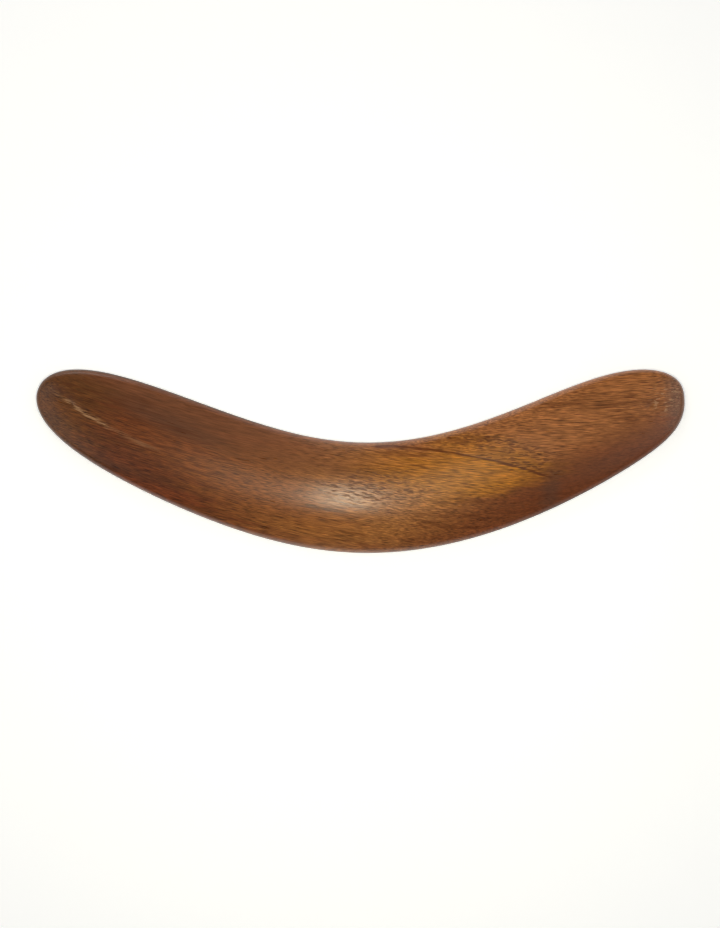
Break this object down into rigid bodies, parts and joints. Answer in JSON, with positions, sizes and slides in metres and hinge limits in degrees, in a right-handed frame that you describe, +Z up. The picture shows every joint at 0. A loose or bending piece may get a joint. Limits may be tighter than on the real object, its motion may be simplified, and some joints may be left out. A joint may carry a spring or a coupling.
{
  "type": "boomerang",
  "caption": "Wooden boomerang, modelled as right-handed: a broad, gently bent blade with a crowned, lacquered top, a flat underside and rounded tips.",
  "frame": {"origin": "middle of the bounding box, on the flat underside that it rests on", "axes": "+X from the left tip to the right tip, +Y out of the open side of the bend, +Z up out of the crowned top"},
  "size_m": [0.4002, 0.1136, 0.0165],
  "materials": {
    "lacquered_hardwood": "satin clear lacquer over reddish-brown hardwood"
  },
  "bodies": {
    "root": {"boomerang_body": "lacquered_hardwood"}
  },
  "joints": []
}
